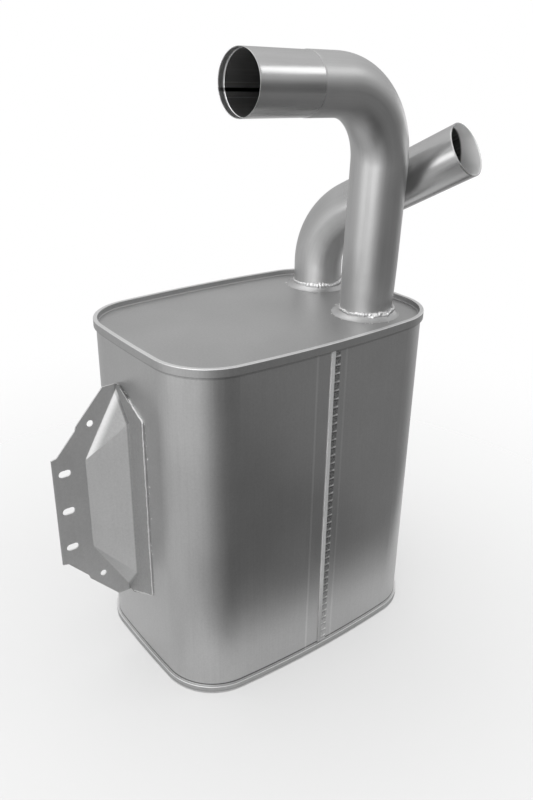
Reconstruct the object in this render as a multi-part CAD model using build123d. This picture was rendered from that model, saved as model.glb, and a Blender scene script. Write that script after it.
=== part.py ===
from build123d import *
import math
import os

# Box silencer with two exhaust elbows on top. Millimetres, +Z up, standing on its lower rim.
# Body coordinates: X along the long sides, the lock seam on the -Y face, the bracket on the -X side.

# Body plan: bowed sides and round corners, all arcs tangent
body_length = 587.0
body_depth = 423.0
body_height = 686.0
corner_radius = 107.0
long_side_radius = 2200.0
short_side_radius = 2900.0

# Sheets, and the clearance between sheets that are rolled or pushed together
jacket_wall = 1.5
end_wall = 1.5
mat_wall = 6.0
liner_wall = 1.0
baffle_wall = 1.2
lap_gap = 0.05

# Rolled double seam that joins each end plate to the jacket
rim_height = 15.6
recess_depth = 11.0
recess_foot_radius = 2.2
rim_top_radius = 1.3
rim_low_radius = 0.9

# Lock seam down the middle of the front: a folded strip and a row of crimp pads beside it
fold_left = -5.0
fold_width = 8.0
fold_proud = 1.8
crimp_width = 14.0
crimp_proud = 0.9
crimp_pitch = 16.6
crimp_gap = 3.0
seam_end_gap = 1.0

# Drawn necks in the top plate, and the weld beads on them
neck_height = 9.0
neck_foot_radius = 4.5
bead_width = 3.0
bead_height = 4.0

# Both elbows are the same tube
pipe_radius = 50.8
pipe_wall = 2.0
pipe_stub = 45.0

# Large elbow, from its centre on the rim's plane: lean forward, rise, bend, run to the mouth
large_from_side = 113.7
large_from_front = 112.4
large_lean_angle = 2.0
large_rise = 274.0
large_bend_radius = 136.7
large_bend_angle = 87.7
large_turn_angle = 184.0
large_run = 200.0
sized_length = 149.0
sized_step = 0.4
mouth_seat_depth = 12.0
mouth_seat_step = 0.7

# Small elbow, tucked in the back corner and bent forward so that it just passes the large one
small_from_side = 65.0
small_from_back = 107.3
small_rise = 38.8
small_bend_radius = 144.7
small_bend_angle = 60.6
small_run = 272.0
pass_gap = 2.8

# Two partitions with turned rims and drawn collars
lower_baffle_z = 235.0
upper_baffle_z = 455.0
baffle_rim = 15.0
baffle_edge_radius = 2.0
collar_height = 10.0
collar_foot_radius = 2.5

# Tubes inside, held by the collars
inner_tube_radius = 48.0
inner_tube_wall = 1.5
inner_tube_lap = 20.0
inlet_tube_bottom = 110.0
outlet_tube_bottom = 330.0
louvre_width = 4.0
louvre_height = 28.0
louvre_pitch = 40.0
louvres_round = 8
transfer_radius = 38.0
transfer_wall = 1.5
transfer_from_side = 173.5
transfer_spacing = 170.0
transfer_bottom = 150.0
transfer_top = 560.0

# Sound-absorbing packing round the inlet tube, in a can between the partitions
packing_wall = 24.0
can_wall = 1.0
tube_gap = 0.1

# Pressed sheet bracket, symmetric about its own height
bracket_wall = 3.0
crease_radius = 3.0
foot_bed = 1.0
bracket_z = 359.0
flange_y = 45.0
flange_edge = 139.5
fold_line = 75.0
ramp_foot_y = 3.0
foot_edge_y = -46.0
fold_half = 95.0
ramp_half = 168.0
crease_half = 222.0
flange_half = 231.0
foot_half = 189.0
foot_corner_y = 30.0
edge_half = 113.0
ear_width = 11.0
ear_drop = 2.5
shoulder_out = 87.0
shoulder_half = 167.5
shoulder_step = 8.5
flange_root_out = 29.5
slot_out = 116.4
slot_pitch = 80.0
slot_length = 24.0
slot_width = 14.0
hole_out = 59.4
hole_half = 166.3
hole_radius = 6.5
foot_bead = 2.9


def circle_meet(centre_a, reach_a, centre_b, reach_b):
    """The point with y below zero that lies reach_a from centre_a and reach_b from centre_b."""
    ax, ay = centre_a
    bx, by = centre_b
    span = math.hypot(bx - ax, by - ay)
    ux = (bx - ax) / span
    uy = (by - ay) / span
    along = (reach_a**2 - reach_b**2 + span**2) / (2 * span)
    side = math.sqrt(reach_a**2 - along**2)
    first = (ax + ux * along - uy * side, ay + uy * along + ux * side)
    second = (ax + ux * along + uy * side, ay + uy * along - ux * side)
    return min(first, second, key=lambda point: abs(point[1] + body_depth / 2 - corner_radius))


def plan_face(offset):
    """The body's plan, moved outward by offset: eight tangent arcs about six fixed centres."""
    half_x = body_length / 2
    half_y = body_depth / 2
    front = (0, long_side_radius - half_y)
    right = (half_x - short_side_radius, 0)
    corner = circle_meet(
        front, long_side_radius - corner_radius, right, short_side_radius - corner_radius
    )
    cx, cy = corner
    down = math.atan2(cy - front[1], cx - front[0])
    out = math.atan2(cy - right[1], cx - right[0])
    radius = corner_radius + offset

    def on_corner(angle):
        return (cx + radius * math.cos(angle), cy + radius * math.sin(angle))

    start = on_corner(down)
    middle = on_corner((down + out) / 2)
    end = on_corner(out)

    def turned(point, sx, sy):
        return (point[0] * sx, point[1] * sy)

    arcs = []
    for sx, sy in ((1, -1), (1, 1), (-1, 1), (-1, -1)):
        first, mid, last = (turned(point, sx, -sy) for point in (start, middle, end))
        arcs.append(ThreePointArc(first, mid, last))
    for sy in (1, -1):
        left = turned(start, -1, sy)
        arcs.append(ThreePointArc(left, (0, -sy * (half_y + offset)), turned(start, 1, sy)))
    for sx in (1, -1):
        low = turned(end, sx, 1)
        arcs.append(ThreePointArc(low, (sx * (half_x + offset), 0), turned(end, sx, -1)))
    return make_face(arcs)


def prism(offset, low, high):
    """The body's plan, moved outward by offset, from one height to another."""
    return Pos(0, 0, low) * extrude(plan_face(offset), amount=high - low)


def ring(outer, inner, low, high):
    """The wall between two offsets of the plan."""
    return prism(outer, low, high) - prism(inner, low, high)


def tube(x, y, radius, wall, low, high):
    """A straight upright tube."""
    height = high - low
    bottom = (Align.CENTER, Align.CENTER, Align.MIN)
    solid = Cylinder(radius, height, align=bottom) - Cylinder(radius - wall, height, align=bottom)
    return Pos(x, y, low) * solid


def rod(x, y, radius, low, high):
    """A straight upright cylinder, to cut with."""
    bottom = (Align.CENTER, Align.CENTER, Align.MIN)
    return Pos(x, y, low) * Cylinder(radius, high - low, align=bottom)


def collar(radius, wall, height, foot):
    """A neck drawn out of a sheet whose top is z = 0: straight bore, flared foot."""
    reach = radius + wall + foot
    bend = math.sqrt(0.5)
    outline = [
        Line((radius, 0, height), (radius + wall, 0, height)),
        Line((radius + wall, 0, height), (radius + wall, 0, foot)),
        ThreePointArc(
            (radius + wall, 0, foot),
            (reach - foot * bend, 0, foot - foot * bend),
            (reach, 0, 0),
        ),
        Line((reach, 0, 0), (reach, 0, -wall)),
        ThreePointArc(
            (reach, 0, -wall),
            (reach - (foot + wall) * bend, 0, foot - (foot + wall) * bend),
            (radius, 0, foot),
        ),
        Line((radius, 0, foot), (radius, 0, height)),
    ]
    return revolve(make_face(outline), axis=Axis.Z)


# Offsets of the layers in the rolled seam, from the jacket's outer face
return_leg = lap_gap + end_wall
hook_in = return_leg + lap_gap
hook_out = hook_in + jacket_wall
skirt_in = hook_out + lap_gap
skirt_out = skirt_in + end_wall
inner_face = -jacket_wall - lap_gap
recess_face = inner_face - end_wall
plate_top = body_height - recess_depth
plate_low = plate_top - end_wall
floor_top = body_height - plate_low


def end_plate():
    """The top end plate without its necks: recessed plate, rolled rim that grips the jacket."""
    top = body_height
    low = top - rim_height
    rim = prism(skirt_out, low, top)
    rim = fillet(rim.edges().group_by(Axis.Z)[-1], rim_top_radius)
    rim = fillet(rim.edges().group_by(Axis.Z)[0], rim_low_radius)
    recess = prism(recess_face, plate_top, top + 1)
    recess = fillet(recess.edges().group_by(Axis.Z)[0], recess_foot_radius)
    under = prism(inner_face, low - 1, plate_low)
    flange_slot = ring(skirt_in, inner_face, top - end_wall - jacket_wall - 2 * lap_gap, top - end_wall)
    hook_slot = ring(skirt_in, return_leg, low + end_wall, top - end_wall)
    wall_slot = ring(lap_gap, inner_face, low - 1, top - end_wall)
    return rim - recess - under - flange_slot - hook_slot - wall_slot


def jacket():
    """The wrapped sheet, flanged and hooked at both ends, with the lock seam down its front."""
    flange_top = body_height - end_wall - lap_gap
    hook_low = body_height - rim_height + end_wall + lap_gap
    shell = ring(0, -jacket_wall, body_height - flange_top, flange_top)
    flange = ring(hook_out, -jacket_wall, flange_top - jacket_wall, flange_top)
    hook = ring(hook_out, hook_in, hook_low, flange_top)
    hooked = flange + hook
    mid_plane = Plane.XY.offset(body_height / 2)
    shell = shell + hooked + mirror(hooked, about=mid_plane)
    return shell + lock_seam()


def lock_seam():
    """The folded strip and the crimp pads, laid on the curve of the front face."""
    low = rim_height + seam_end_gap
    high = body_height - rim_height - seam_end_gap
    bite = jacket_wall / 2
    front = -body_depth / 2

    def strip(left, width, proud, bottom, top):
        depth = 2 * (proud + jacket_wall)
        window = Pos(left + width / 2, front, (bottom + top) / 2) * Box(width, depth, top - bottom)
        return ring(proud, -bite, bottom, top) & window

    seam = strip(fold_left, fold_width, fold_proud, low, high)
    pads = strip(fold_left + fold_width, crimp_width, crimp_proud, low, high)
    count = int((high - low) / crimp_pitch)
    first = (low + high - (count - 1) * crimp_pitch) / 2
    grooves = [
        Pos(fold_left + fold_width + crimp_width / 2, front - crimp_proud, first + i * crimp_pitch)
        * Box(crimp_width, 2 * crimp_proud, crimp_gap)
        for i in range(count)
    ]
    return seam + (pads - grooves)


# Distances into the body of the sheets that lie inside the jacket
mat_out = -jacket_wall - lap_gap
liner_out = mat_out - mat_wall - lap_gap
chamber = liner_out - liner_wall
baffle_out = chamber - lap_gap


def insulation_mat():
    return ring(mat_out, mat_out - mat_wall, floor_top, plate_low)


def inner_liner():
    return ring(liner_out, chamber, floor_top, plate_low)


def direction(turn, elevation):
    """A unit vector: turn from +X towards +Y, elevation above the horizon, in degrees."""
    flat = math.cos(math.radians(elevation))
    return Vector(
        flat * math.cos(math.radians(turn)),
        flat * math.sin(math.radians(turn)),
        math.sin(math.radians(elevation)),
    )


class Elbow:
    """A tube that rises out of the top plate, bends once and runs straight to its mouth."""

    def __init__(self, x, y, lean, rise, bend_radius, bend, turn, run):
        self.lean = lean
        self.up = direction(-90, 90 - lean)
        base = Vector(x, y, body_height)
        flat = direction(turn, 0)
        side = (flat - self.up * flat.dot(self.up)).normalized()
        self.foot = base - self.up * (recess_depth + pipe_stub)
        self.knee = base + self.up * rise
        centre = self.knee + side * bend_radius

        def on_bend(angle):
            return (
                centre
                - side * (bend_radius * math.cos(angle))
                + self.up * (bend_radius * math.sin(angle))
            )

        angle = math.radians(bend)
        self.middle = on_bend(angle / 2)
        self.bend_end = on_bend(angle)
        self.out = side * math.sin(angle) + self.up * math.cos(angle)
        self.mouth = self.bend_end + self.out * run

    def solid(self, radius):
        """The solid inside the given radius round the elbow's centre line."""
        path = Wire(
            [
                Edge.make_line(self.foot, self.knee),
                Edge.make_three_point_arc(self.knee, self.middle, self.bend_end),
                Edge.make_line(self.bend_end, self.mouth),
            ]
        )
        section = Plane(origin=self.foot, z_dir=self.up) * Circle(radius)
        return sweep(section, path=path)

    def pipe(self):
        return self.solid(pipe_radius) - self.solid(pipe_radius - pipe_wall)

    def end_ring(self, outer, inner, length):
        """A ring round the last stretch of the run, to cut the pipe's end with."""
        plane = Plane(origin=self.mouth - self.out * length, z_dir=self.out)
        return extrude(plane * (Circle(outer) - Circle(inner)), amount=length)

    def stem(self, radius):
        """A cylinder along the rising part, to cut necks and beads with."""
        plane = Plane(origin=self.foot, z_dir=self.up)
        return extrude(plane * Circle(radius), amount=2 * pipe_stub)

    def neck_centre(self):
        """Where the centre line passes through the top plate."""
        drop = recess_depth / self.up.Z
        base = self.foot + self.up * (recess_depth + pipe_stub)
        return base - self.up * drop


large_x = body_length / 2 - large_from_side
large_y = large_from_front - body_depth / 2
small_x = body_length / 2 - small_from_side
small_y = body_depth / 2 - small_from_back


def passing_turn():
    """The turn at which the small elbow's run passes the large elbow, pass_gap clear of it."""
    bend = math.radians(small_bend_angle)
    run_middle = small_rise + small_bend_radius * math.sin(bend) + small_run / 2 * math.cos(bend)
    across_x = large_x - small_x
    across_y = large_y - run_middle * math.tan(math.radians(large_lean_angle)) - small_y
    straight_at = math.atan2(across_y, across_x)
    clear = math.asin((2 * pipe_radius + pass_gap) / math.hypot(across_x, across_y))
    return math.degrees(straight_at + clear)


large = Elbow(
    large_x,
    large_y,
    large_lean_angle,
    large_rise,
    large_bend_radius,
    large_bend_angle,
    large_turn_angle,
    large_run,
)
small = Elbow(
    small_x,
    small_y,
    0,
    small_rise,
    small_bend_radius,
    small_bend_angle,
    passing_turn(),
    small_run,
)


def large_pipe():
    """The large elbow: its end is sized by a shallow step, with a seat just inside the mouth."""
    sized = large.end_ring(pipe_radius + 1, pipe_radius - sized_step, sized_length)
    bore = pipe_radius - pipe_wall
    seat = large.end_ring(bore + mouth_seat_step, bore - 1, mouth_seat_depth)
    return large.pipe() - sized - seat


def top_end_plate():
    """The top end plate, with a neck drawn up round each elbow."""
    plate = end_plate()
    reach = pipe_radius + lap_gap + end_wall + neck_foot_radius
    for elbow in (large, small):
        at = elbow.neck_centre()
        slack = neck_height * math.tan(math.radians(elbow.lean))
        bore = pipe_radius + lap_gap - slack
        neck = collar(bore, end_wall + slack, neck_height, neck_foot_radius)
        plate = plate - rod(at.X, at.Y, reach, plate_low - 1, plate_top + 1)
        plate = plate + Pos(at.X, at.Y, plate_top) * neck
        plate = plate - elbow.stem(pipe_radius + lap_gap)
    return plate


def neck_weld(elbow):
    """A weld bead laid on the neck's edge, against the pipe."""
    at = elbow.neck_centre()
    low = plate_top + neck_height
    outer = pipe_radius + lap_gap + bead_width
    bead = rod(at.X, at.Y, outer, low, low + bead_height)
    bead = fillet(bead.edges().group_by(Axis.Z)[-1], bead_width * 0.8)
    return bead - elbow.stem(pipe_radius + lap_gap)


def baffle(seats):
    """A partition, plate top at z = 0: rim turned down, a collar drawn up at each (x, y, radius)."""
    tray = prism(baffle_out, -baffle_rim, 0)
    tray = fillet(tray.edges().group_by(Axis.Z)[-1], baffle_edge_radius)
    hollow = prism(baffle_out - baffle_wall, -baffle_rim, -baffle_wall)
    hollow = fillet(hollow.edges().group_by(Axis.Z)[-1], baffle_edge_radius - baffle_wall)
    plate = tray - hollow
    for x, y, radius in seats:
        bore = radius + tube_gap
        reach = bore + baffle_wall + collar_foot_radius
        plate = plate - rod(x, y, reach, -baffle_wall - 1, 1)
        plate = plate + Pos(x, y, 0) * collar(bore, baffle_wall, collar_height, collar_foot_radius)
    return plate


# Centres of the inner tubes: the inlet tube meets the leaning pipe at the middle of their lap
inner_tube_top = large.foot.Z + inner_tube_lap
lap_drop = (body_height - inner_tube_top + inner_tube_lap / 2) / large.up.Z
inlet_x = large_x - large.up.X * lap_drop
inlet_y = large_y - large.up.Y * lap_drop
inlet_seat = (inlet_x, inlet_y, inner_tube_radius)
outlet_seat = (small_x, small_y, inner_tube_radius)
transfer_x = transfer_from_side - body_length / 2
transfer_seats = [(transfer_x, side * transfer_spacing / 2, transfer_radius) for side in (-1, 1)]
can_low = lower_baffle_z + baffle_wall
can_high = upper_baffle_z - baffle_wall


def upper_baffle():
    return Pos(0, 0, upper_baffle_z) * baffle([inlet_seat, outlet_seat, *transfer_seats])


def lower_baffle():
    return Pos(0, 0, lower_baffle_z) * mirror(baffle([inlet_seat, *transfer_seats]), about=Plane.XY)


def louvred_tube(x, y, low, high, louvre_low, louvre_high):
    """An inner tube with rows of upright slots between two heights."""
    solid = tube(x, y, inner_tube_radius, inner_tube_wall, low, high)
    rows = int((louvre_high - louvre_low - louvre_height) / louvre_pitch) + 1
    first = (louvre_low + louvre_high - (rows - 1) * louvre_pitch) / 2
    across = 2 * inner_tube_radius + 2
    slots = []
    for row in range(rows):
        for turn in range(louvres_round // 2):
            slot = Rot(0, 0, turn * 360 / louvres_round) * Box(across, louvre_width, louvre_height)
            slots.append(Pos(x, y, first + row * louvre_pitch) * slot)
    return solid - slots


def inlet_tube():
    margin = 2 * can_wall
    return louvred_tube(
        inlet_x, inlet_y, inlet_tube_bottom, inner_tube_top, can_low + margin, can_high - margin
    )


def outlet_tube():
    low = upper_baffle_z + collar_height
    return louvred_tube(small_x, small_y, outlet_tube_bottom, inner_tube_top, low, small.foot.Z)


def transfer_tube(side):
    y = side * transfer_spacing / 2
    return tube(transfer_x, y, transfer_radius, transfer_wall, transfer_bottom, transfer_top)


packing_in = inner_tube_radius + tube_gap
packing_out = packing_in + packing_wall
can_radius = packing_out + lap_gap + can_wall


def packing():
    return tube(
        inlet_x, inlet_y, packing_out, packing_wall, can_low + can_wall, can_high - can_wall
    )


def packing_can():
    return tube(inlet_x, inlet_y, can_radius, can_wall, can_low, can_high)


def can_cap(low):
    return tube(inlet_x, inlet_y, packing_out, packing_wall, low, low + can_wall)


def polygon(points):
    return make_face(Polyline(*points, close=True))


def meet(planes):
    """The point that three planes share; each plane is a point on it and its unit normal."""
    (pa, na), (pb, nb), (pc, nc) = planes
    volume = na.dot(nb.cross(nc))
    total = nb.cross(nc) * na.dot(pa) + nc.cross(na) * nb.dot(pb) + na.cross(nb) * nc.dot(pc)
    return total * (1 / volume)


def bracket_outline():
    """Corners of the sheet's front, upper half, as (distance out from the side, y, height)."""
    step_out = shoulder_out + shoulder_step * 0.3
    return {
        "root": (bracket_wall, flange_y, flange_half),
        "slant": (flange_root_out, flange_y, flange_half),
        "shoulder": (shoulder_out, flange_y, shoulder_half),
        "step": (step_out, flange_y, shoulder_half - shoulder_step),
        "ear": (flange_edge - ear_width, flange_y, edge_half + ear_drop),
        "edge": (flange_edge, flange_y, edge_half),
        "crease": (bracket_wall, flange_y, crease_half),
        "fold": (fold_line, flange_y, fold_half),
        "ramp": (bracket_wall, ramp_foot_y, ramp_half),
        "corner": (bracket_wall, foot_corner_y, flange_half),
        "foot": (bracket_wall, foot_edge_y, foot_half),
    }


def bracket_sheet():
    """A flange, a ramp, two triangular walls and a foot: one folded sheet, mitred at every crease."""
    outline = bracket_outline()

    def front(name, side):
        out, y, height = outline[name]
        return Vector(-body_length / 2 - out, y, bracket_z + side * height)

    def normal(a, b, c):
        across = (b - a).cross(c - a).normalized()
        return across if across.Y < 0 else across * -1

    ramp_points = (front("fold", 1), front("fold", -1), front("ramp", 1))
    back_of_flange = (Vector(0, flange_y + bracket_wall, 0), Vector(0, -1, 0))
    back_of_foot = (Vector(foot_bed - body_length / 2, 0, 0), Vector(-1, 0, 0))
    ramp_normal = normal(*ramp_points)
    back_of_ramp = (ramp_points[0] - ramp_normal * bracket_wall, ramp_normal)

    def back(name, side):
        point = front(name, side)
        wall_points = (front("fold", side), front("crease", side), front("ramp", side))
        wall_normal = normal(*wall_points)
        back_of_wall = (wall_points[0] - wall_normal * bracket_wall, wall_normal)
        if name == "fold":
            return meet((back_of_flange, back_of_ramp, back_of_wall))
        if name == "crease":
            return meet((back_of_flange, back_of_foot, back_of_wall))
        if name == "ramp":
            return meet((back_of_ramp, back_of_foot, back_of_wall))
        x = back_of_foot[0].X if point.X > -body_length / 2 - 2 * bracket_wall else point.X
        y = flange_y + bracket_wall if outline[name][1] == flange_y else point.Y
        return Vector(x, y, point.Z)

    upper_rim = ["root", "slant", "shoulder", "step", "ear", "edge"]
    rim = [(name, 1) for name in upper_rim] + [(name, -1) for name in reversed(upper_rim)]
    inner = [("crease", -1), ("fold", -1), ("fold", 1), ("crease", 1)]
    foot_rim = [("corner", -1), ("foot", -1), ("foot", 1), ("corner", 1)]
    foot_inner = [("crease", 1), ("ramp", 1), ("ramp", -1), ("crease", -1)]
    panels = [
        rim + inner,
        [("fold", 1), ("fold", -1), ("ramp", -1), ("ramp", 1)],
        [("fold", 1), ("crease", 1), ("ramp", 1)],
        [("fold", -1), ("crease", -1), ("ramp", -1)],
        [("root", -1)] + foot_rim + [("root", 1)] + foot_inner,
    ]
    border = rim + foot_rim

    faces = [polygon([front(*key) for key in panel]) for panel in panels]
    faces += [polygon([back(*key) for key in panel]) for panel in panels]
    for first, last in zip(border, border[1:] + border[:1]):
        faces.append(polygon([front(*first), front(*last), back(*last), back(*first)]))
    sheet = Solid(Shell(faces))

    creases = [(("fold", 1), ("fold", -1)), (("ramp", 1), ("ramp", -1))]
    for side in (1, -1):
        corners = [("fold", side), ("crease", side), ("ramp", side)]
        creases += zip(corners, corners[1:] + corners[:1])
    for skin in (front, back):
        middles = [(skin(*first) + skin(*last)) * 0.5 for first, last in creases]
        bent = [edge for edge in sheet.edges() if any((edge @ 0.5 - m).length < 0.1 for m in middles)]
        sheet = fillet(bent, crease_radius)
    return sheet


def bracket():
    """The sheet, dressed to the jacket's side, with three level slots and two round holes."""
    sheet = bracket_sheet() - prism(lap_gap, bracket_z - flange_half - 1, bracket_z + flange_half + 1)
    for row in (-1, 0, 1):
        x = -body_length / 2 - slot_out
        plane = Plane((x, flange_y - 1, bracket_z + row * slot_pitch), x_dir=(1, 0, 0), z_dir=(0, 1, 0))
        sheet = sheet - extrude(plane * SlotOverall(slot_length, slot_width), amount=bracket_wall + 2)
    for side in (-1, 1):
        x = -body_length / 2 - hole_out
        plane = Plane((x, flange_y - 1, bracket_z + side * hole_half), x_dir=(1, 0, 0), z_dir=(0, 1, 0))
        sheet = sheet - extrude(plane * Circle(hole_radius), amount=bracket_wall + 2)
    return sheet


def bracket_weld():
    """A fillet weld between the foot's free edge and the jacket: a mitred triangular bead."""
    outline = bracket_outline()
    corner_y, corner_z = outline["corner"][1:]
    foot_y, foot_z = outline["foot"][1:]
    slope = math.atan2(corner_z - foot_z, corner_y - foot_y)
    miter = foot_bead * math.tan((math.pi / 2 - slope) / 2)
    corner = (corner_y, corner_z)
    corner_toe = (corner_y - foot_bead * math.sin(slope), corner_z + foot_bead * math.cos(slope))
    foot = (foot_y, foot_z)
    foot_toe = (foot_y - foot_bead, foot_z + miter)
    side_x = -body_length / 2
    sections = []
    for (y, z), (toe_y, toe_z), side in (
        (corner, corner_toe, 1),
        (foot, foot_toe, 1),
        (foot, foot_toe, -1),
        (corner, corner_toe, -1),
    ):
        crown = (side_x - foot_bead, y, bracket_z + side * z)
        root = (side_x + foot_bed, y, bracket_z + side * z)
        toe = (side_x + foot_bed, toe_y, bracket_z + side * toe_z)
        sections.append((crown, root, toe))
    faces = [polygon(sections[0]), polygon(sections[-1])]
    for first, last in zip(sections, sections[1:]):
        for i, j in ((0, 1), (1, 2), (2, 0)):
            faces.append(polygon((first[i], first[j], last[j], last[i])))
    bead = Solid(Shell(faces))
    reach = flange_half + 2 * foot_bead
    return bead - prism(lap_gap, bracket_z - reach, bracket_z + reach)


nodes = {
    "jacket": jacket(),
    "top_end_plate": top_end_plate(),
    "bottom_end_plate": mirror(end_plate(), about=Plane.XY.offset(body_height / 2)),
    "insulation_mat": insulation_mat(),
    "inner_liner": inner_liner(),
    "upper_baffle": upper_baffle(),
    "lower_baffle": lower_baffle(),
    "large_pipe": large_pipe(),
    "small_pipe": small.pipe(),
    "inlet_tube": inlet_tube(),
    "outlet_tube": outlet_tube(),
    "transfer_tube_front": transfer_tube(-1),
    "transfer_tube_back": transfer_tube(1),
    "packing": packing(),
    "packing_can": packing_can(),
    "packing_cap_upper": can_cap(can_high - can_wall),
    "packing_cap_lower": can_cap(can_low),
    "bracket": bracket(),
    "large_pipe_weld": neck_weld(large),
    "small_pipe_weld": neck_weld(small),
    "bracket_weld": bracket_weld(),
}

# The origin is the middle of the whole object's box, on the surface that it stands on
box = Compound(list(nodes.values())).bounding_box()
to_origin = Pos(-(box.min.X + box.max.X) / 2, -(box.min.Y + box.max.Y) / 2, -box.min.Z)
print("body axis at", to_origin.position)
os.makedirs("parts", exist_ok=True)
for name, solid in nodes.items():
    export_step(to_origin * solid, f"parts/{name}.step")
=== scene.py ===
import bpy
import math
import numpy as np
from mathutils import Matrix, Vector


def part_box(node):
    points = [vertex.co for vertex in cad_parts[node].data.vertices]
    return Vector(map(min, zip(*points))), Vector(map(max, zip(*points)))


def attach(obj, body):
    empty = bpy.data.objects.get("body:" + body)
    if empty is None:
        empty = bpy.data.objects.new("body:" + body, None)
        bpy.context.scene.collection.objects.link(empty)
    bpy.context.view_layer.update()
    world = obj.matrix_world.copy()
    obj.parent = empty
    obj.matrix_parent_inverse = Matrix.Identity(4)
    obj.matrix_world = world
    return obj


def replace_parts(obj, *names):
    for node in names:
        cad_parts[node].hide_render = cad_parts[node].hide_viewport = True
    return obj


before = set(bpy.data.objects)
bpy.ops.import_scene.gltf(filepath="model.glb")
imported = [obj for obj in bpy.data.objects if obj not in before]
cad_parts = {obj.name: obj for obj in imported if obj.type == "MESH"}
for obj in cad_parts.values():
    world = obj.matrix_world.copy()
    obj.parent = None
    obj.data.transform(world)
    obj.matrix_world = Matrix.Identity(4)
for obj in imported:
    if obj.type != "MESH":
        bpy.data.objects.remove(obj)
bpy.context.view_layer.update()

# Upright box silencer. Metres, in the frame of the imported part: +Z up, the lock seam on the -Y face,
# the bracket on the -X side. The body's own axis is the middle of the jacket's box.
jacket_low, jacket_high = (np.array(corner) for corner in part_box("jacket"))
AXIS = (jacket_low + jacket_high)[:2] / 2
AXIS_X, AXIS_Y = (float(part) for part in AXIS)
HALF_LENGTH = 0.2935  # from the axis to the middle of the bowed short side
HALF_DEPTH = 0.2115  # from the axis to the middle of the bowed front
SIDE_BOW = 2.9  # radius of the short side's bow
FACE_BOW = 2.2  # radius of the front's bow
PLATE_TOP = 0.6750  # height of the recessed top plate's face
SEAM_LOW, SEAM_HIGH = 0.0166, 0.6694  # ends of the lock seam
PAD_PITCH = 0.0166  # from crimp to crimp
FLANGE_BACK = 0.0481  # y of the rear face of the bracket's flange
FOOT_EDGE = (0.3015, 0.2985)  # from the axis: where the darkening of the bracket's foot begins, and is full

TUBE_RADIUS = 0.0508
TUBE_BORE = 0.0488  # radius of the bore
SIZED_LENGTH = 0.135  # sized end of the large elbow
SEAT_DEPTH = 0.012  # shallow seat inside its mouth

# Lines that the finishes draw: painted shade lines and painted highlights on the sheet, ridges beside the
# seam, and glints in the large tube's mouth.
# Painted shade: a dark line on the jacket beside each rim, where the rim's undercut shades it.
RIM_SHADOW_LINES = ((0.0186, -2.1), (0.6672, -0.7))  # height beside each rim, change of tone
# Ridges beside the seam are real bumps. Each also carries a painted highlight, 0.35 times its height, in
# tone.
SEAM_RIDGES = ((-0.036, 1.5), (0.031, 1.1))  # place from the axis, beside the seam; height of the bump
# Painted highlights (tone raised) and painted shade lines (tone lowered) along the end plates' rolled rims.
RIM_LIGHT_LINES = (  # height, half width, change of tone
    (0.6858, 0.0011, 1.6),
    (0.6705, 0.0011, -1.1),
    (0.0155, 0.0018, 1.9),
    (0.0058, 0.0012, -0.8),
    (0.0020, 0.0024, 0.9),
)
MOUTH_GLINTS = ((-1.05, 1.6), (-1.51, 1.1))  # turn of the bright lines beside the tube's joint, strength


# ---------------------------------------------------------------- shader helpers

class Nodes:
    """A short way to write node trees, in which an input is a value, or a socket to link."""

    def __init__(self, tree):
        self.tree = tree
        tree.nodes.clear()

    def add(self, kind, inputs=None, **settings):
        node = self.tree.nodes.new(kind)
        for name, value in settings.items():
            setattr(node, name, value)
        for name, value in (inputs or {}).items():
            socket = node.inputs[name]
            if isinstance(value, bpy.types.NodeSocket):
                self.tree.links.new(value, socket)
            else:
                socket.default_value = value
        return node

    def place(self, kind="Object"):
        return self.add("ShaderNodeTexCoord").outputs[kind]

    def attribute(self, name, kind="Fac"):
        return self.add("ShaderNodeAttribute", attribute_name=name).outputs[kind]

    def parts(self, vector):
        return self.add("ShaderNodeSeparateXYZ", {0: vector}).outputs

    def length(self, vector):
        return self.add("ShaderNodeVectorMath", {0: vector}, operation="LENGTH").outputs["Value"]

    def stretched(self, vector, scale):
        return self.add("ShaderNodeMapping", {"Vector": vector, "Scale": scale}).outputs[0]

    def math(self, operation, first, second=0.0):
        return self.add("ShaderNodeMath", {0: first, 1: second}, operation=operation).outputs[0]

    def total(self, *parts):
        """The sum of sockets, each times its weight."""
        result = None
        for socket, weight in parts:
            part = socket if weight == 1.0 else self.math("MULTIPLY", socket, weight)
            result = part if result is None else self.math("ADD", result, part)
        return result

    def mix(self, factor, first, second):
        return self.add("ShaderNodeMix", {0: factor, 2: first, 3: second}).outputs[0]

    def blend(self, factor, first, second, **settings):
        """Mixes colours."""
        inputs = {0: factor, 6: first, 7: second}
        return self.add("ShaderNodeMix", inputs, data_type="RGBA", **settings).outputs[2]

    def span(self, value, low, high, to_low, to_high, smooth=False):
        """The value's range from low to high carried over to to_low to to_high, and held beyond it."""
        return self.add(
            "ShaderNodeMapRange",
            {"Value": value, "From Min": low, "From Max": high, "To Min": to_low, "To Max": to_high},
            interpolation_type="SMOOTHSTEP" if smooth else "LINEAR",
        ).outputs[0]

    def line(self, value, at, inner, outer, strength=1.0):
        """A line where the value is at a place: strength up to inner away from it, down to 0 at outer."""
        away = self.math("ABSOLUTE", self.math("SUBTRACT", value, at))
        return self.span(away, inner, outer, strength, 0.0, True)

    def noise(self, vector, scale, detail=2.0, roughness=0.5):
        return self.add(
            "ShaderNodeTexNoise",
            {"Vector": vector, "Scale": scale, "Detail": detail, "Roughness": roughness},
        ).outputs["Fac"]

    def close(self, colour, metallic, roughness, height, depth):
        """Ends a material's tree; height times depth is its bump."""
        bump = self.add("ShaderNodeBump", {"Height": height, "Distance": depth, "Strength": 1.0})
        shader = self.add(
            "ShaderNodeBsdfPrincipled",
            {"Base Color": colour, "Metallic": metallic, "Roughness": roughness, "Normal": bump.outputs[0]},
        )
        self.add("ShaderNodeOutputMaterial", {"Surface": shader.outputs[0]})


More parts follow.
